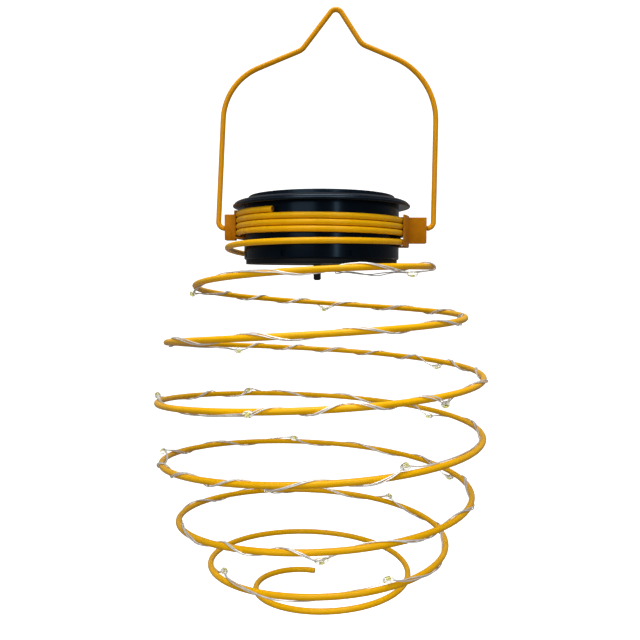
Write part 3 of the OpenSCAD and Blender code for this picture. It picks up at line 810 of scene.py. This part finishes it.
def spun(name, section, sides, coat, body, smooth_angle=35):
    """A closed section turned round the lantern's axis."""
    verts = []
    for j in range(sides):
        a = 2 * math.pi * j / sides
        verts += [place_unit((r * math.cos(a), r * math.sin(a), z)) for r, z in section]
    n = len(section)
    faces = []
    for j in range(sides):
        for i in range(n):
            k, m = (j + 1) % sides, (i + 1) % n
            faces.append((j * n + i, j * n + m, k * n + m, k * n + i))
    return joined(name, [(verts, faces)], coat, body, smooth_angle)


brim_start = RING_R + 0.45
brim_curve = []
for i in range(1, 17):
    a = math.radians(90 * i / 16)
    r = RING_R - 0.5 + (BRIM_R - LIP_T / 2 - RING_R + 0.5) * math.sin(a)
    z = FLANGE_Z + LIP_T / 2 + (BRIM_H - LIP_T / 2) * math.cos(a)
    if r > brim_start + 0.1:
        brim_curve.append((r, z))
crease = [(RING_R, FLANGE_Z + BRIM_H + 0.35), (RING_R + 0.05, FLANGE_Z + BRIM_H + 0.12),
          (RING_R + 0.18, FLANGE_Z + BRIM_H + 0.0), (brim_start, FLANGE_Z + BRIM_H - 0.06)]
lip = arc((BRIM_R - LIP_T / 2, FLANGE_Z), LIP_T / 2, 60, -90, 8)
ring_top = arc((RING_R - 0.5, TOP_Z - 0.5), 0.5, 90, 0, 5)
seat_top = arc((WINDOW_R + 0.5, TOP_Z - 0.3), 0.3, 180, 90, 4)
top_section = (
    [(WINDOW_R + GAP, SEAT_Z)] + seat_top + ring_top + crease + brim_curve + lip
    + [(CUP_R + 1, FLANGE_Z + 0.02), (SPIGOT_R, FLANGE_Z + 0.02), (SPIGOT_R, FLANGE_Z - 4),
       (SPIGOT_R - 2.4, FLANGE_Z - 4), (SPIGOT_R - 2.4, POCKET_Z - FLOOR_T), (2, POCKET_Z - FLOOR_T),
       (2, POCKET_Z), (LEDGE_R, POCKET_Z), (LEDGE_R, SEAT_Z)]
)
top = spun("housing_top", top_section, 192, shell_black, "lantern")
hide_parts("top_shell")
print("brim", 2 * BRIM_R, "mm across, ring top at", TOP_Z)

# %% [markdown]
# The cup is a plain thin-walled pot. What shows is its satin side, the eased
# edge at its foot and a row of small drain notches. The notches are cut with
# small blocks, because a cut leaves the crisp dark corners that a dent in a
# material can't give.

# %% The cup
cup_in = CUP_R - CUP_WALL
cup_section = (
    arc((CUP_R - 0.6, COVER_Z + 0.6), 0.6, -90, 0, 6)
    + [(CUP_R - 0.02, COVER_Z + CUP_H * 0.5), (CUP_R - 0.05, FLANGE_Z - 0.02)]
    + [(cup_in, FLANGE_Z - 0.02), (cup_in, COVER_Z + 0.1), (cup_in + 0.1, COVER_Z)]
)
cup = spun("cup", cup_section, 192, cup_black, "lantern")
NOTCH_AT = [20, 70, 135, 200, 245, 290]
NOTCH_W = 2.3
cuts = []
for bearing in NOTCH_AT:
    turn = Matrix.Rotation(math.radians(bearing), 3, "Z")
    block = []
    for z in (COVER_Z + 1, COVER_Z + 1 + NOTCH_W):
        for x, y in ((cup_in + 0.9, -1), (CUP_R + 1, -1), (CUP_R + 1, 1), (cup_in + 0.9, 1)):
            block.append(place_unit(turn @ Vector((x, y * NOTCH_W / 2, z))))
    sides = [(0, 1, 5, 4), (1, 2, 6, 5), (2, 3, 7, 6), (3, 0, 4, 7), (3, 2, 1, 0), (4, 5, 6, 7)]
    cuts.append((block, sides))


def cut_away(piece, shapes):
    """Cuts closed shapes out of a piece for good."""
    cutter = joined("cutter", shapes, cup_black, "lantern")
    tool = piece.modifiers.new("cut", "BOOLEAN")
    tool.operation = "DIFFERENCE"
    tool.solver = "EXACT"
    tool.object = cutter
    cut_mesh = bpy.data.meshes.new_from_object(piece.evaluated_get(bpy.context.evaluated_depsgraph_get()))
    piece.modifiers.clear()
    piece.data = cut_mesh
    bpy.data.objects.remove(cutter, do_unlink=True)
    cut_mesh.shade_smooth()
    cut_mesh.set_sharp_from_angle(angle=math.radians(35))


cut_away(cup, cuts)
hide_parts("housing_cup")
print("cup with", len(NOTCH_AT), "notches,", len(cup.data.polygons), "faces")

# %% [markdown]
# The bottom cover, its screws and the switch keep their solids' shapes. The
# cover and the button are handled and stand in the light, so their edges are
# eased. The button is a bare square shaft, as these switches come.

# %% Cover and button
eased("bottom_cover", "cover", 0.25, cover_black, "lantern")
eased("switch_button", "button", 0.15, button_black, "button", steps=3)

# %% [markdown]
# ## The solar cell under its window
# A crystalline cell is nearly black blue with fine silver fingers that cross
# it and wide bars that gather from them. Drawn lines would need thousands of
# faces, so the fingers come from a repeating distance in the material. The
# clear resin window over it is real glass to the light.


# %% Solar cell, with fingers from a repeating distance
def cell_finish():
    mat = finish("cell_blue", (0.012, 0.020, 0.060), 0.28, drift=0.35, drift_size=6.0, coat=0.4)
    nodes, links = mat.node_tree.nodes, mat.node_tree.links
    shader = nodes["Principled BSDF"]
    spot = next(n for n in nodes if n.type == "TEX_COORD")
    apart = nodes.new("ShaderNodeSeparateXYZ")
    links.new(spot.outputs["Object"], apart.inputs["Vector"])
    repeat = nodes.new("ShaderNodeMath")
    repeat.operation = "PINGPONG"
    repeat.inputs[1].default_value = 0.95 * MM
    links.new(apart.outputs["Y"], repeat.inputs[0])
    on_finger = nodes.new("ShaderNodeMath")
    on_finger.operation = "LESS_THAN"
    on_finger.inputs[1].default_value = 0.06 * MM
    links.new(repeat.outputs["Value"], on_finger.inputs[0])
    old = shader.inputs["Base Color"].links[0].from_socket
    mix = nodes.new("ShaderNodeMix")
    mix.data_type = "RGBA"
    mix.inputs["B"].default_value = (0.55, 0.56, 0.58, 1)
    links.new(on_finger.outputs["Value"], mix.inputs["Factor"])
    links.new(old, mix.inputs["A"])
    links.new(mix.outputs["Result"], shader.inputs["Base Color"])
    return mat


FINISHES = {
    "panel_window": window_resin,
    "window_seal": rubber_black,
    "solar_cell": cell_finish(),
    "cell_tabs": silver,
    "seal_ring": rubber_black,
    "cover_screws": zinc,
    "battery_tray": finish("tray_grey", (0.05, 0.05, 0.055), 0.5, drift=0.15, grain=0.02, grain_size=0.4),
    "battery": finish("battery_sleeve", (0.03, 0.22, 0.09), 0.3, drift=0.12, drift_size=5.0, grain=0.01,
                      grain_size=2.0, coat=0.3),
    "contact_spring": nickel,
    "contact_plate": nickel,
    "circuit_board": finish("solder_mask", (0.012, 0.14, 0.045), 0.33, drift=0.3, drift_size=1.2,
                            grain=0.02, grain_size=1.0, coat=0.2),
    "driver_chip": finish("chip_epoxy", (0.025, 0.025, 0.027), 0.55, drift=0.2, drift_size=1.0, grain=0.01,
                          grain_size=0.15),
    "choke_coil": finish("choke_ferrite", (0.06, 0.045, 0.04), 0.6, drift=0.25, drift_size=0.9, grain=0.02,
                         grain_size=0.2),
    "capacitor": finish("capacitor_sleeve", (0.03, 0.045, 0.12), 0.35, drift=0.15, drift_size=1.5),
    "switch_body": finish("switch_plastic", (0.03, 0.03, 0.033), 0.45, drift=0.15, grain=0.01,
                          grain_size=0.3),
    "string_grommet": rubber_black,
    "panel_leads": finish("lead_red", (0.42, 0.02, 0.015), 0.4, drift=0.12, drift_size=2.0),
    "battery_leads": finish("lead_black", (0.02, 0.02, 0.02), 0.4, drift=0.2, drift_size=2.0),
}
for node, mat in FINISHES.items():
    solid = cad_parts[node]
    for slot in solid.material_slots:
        slot.material = mat
print(len(FINISHES), "solids keep their shape and get a finish")
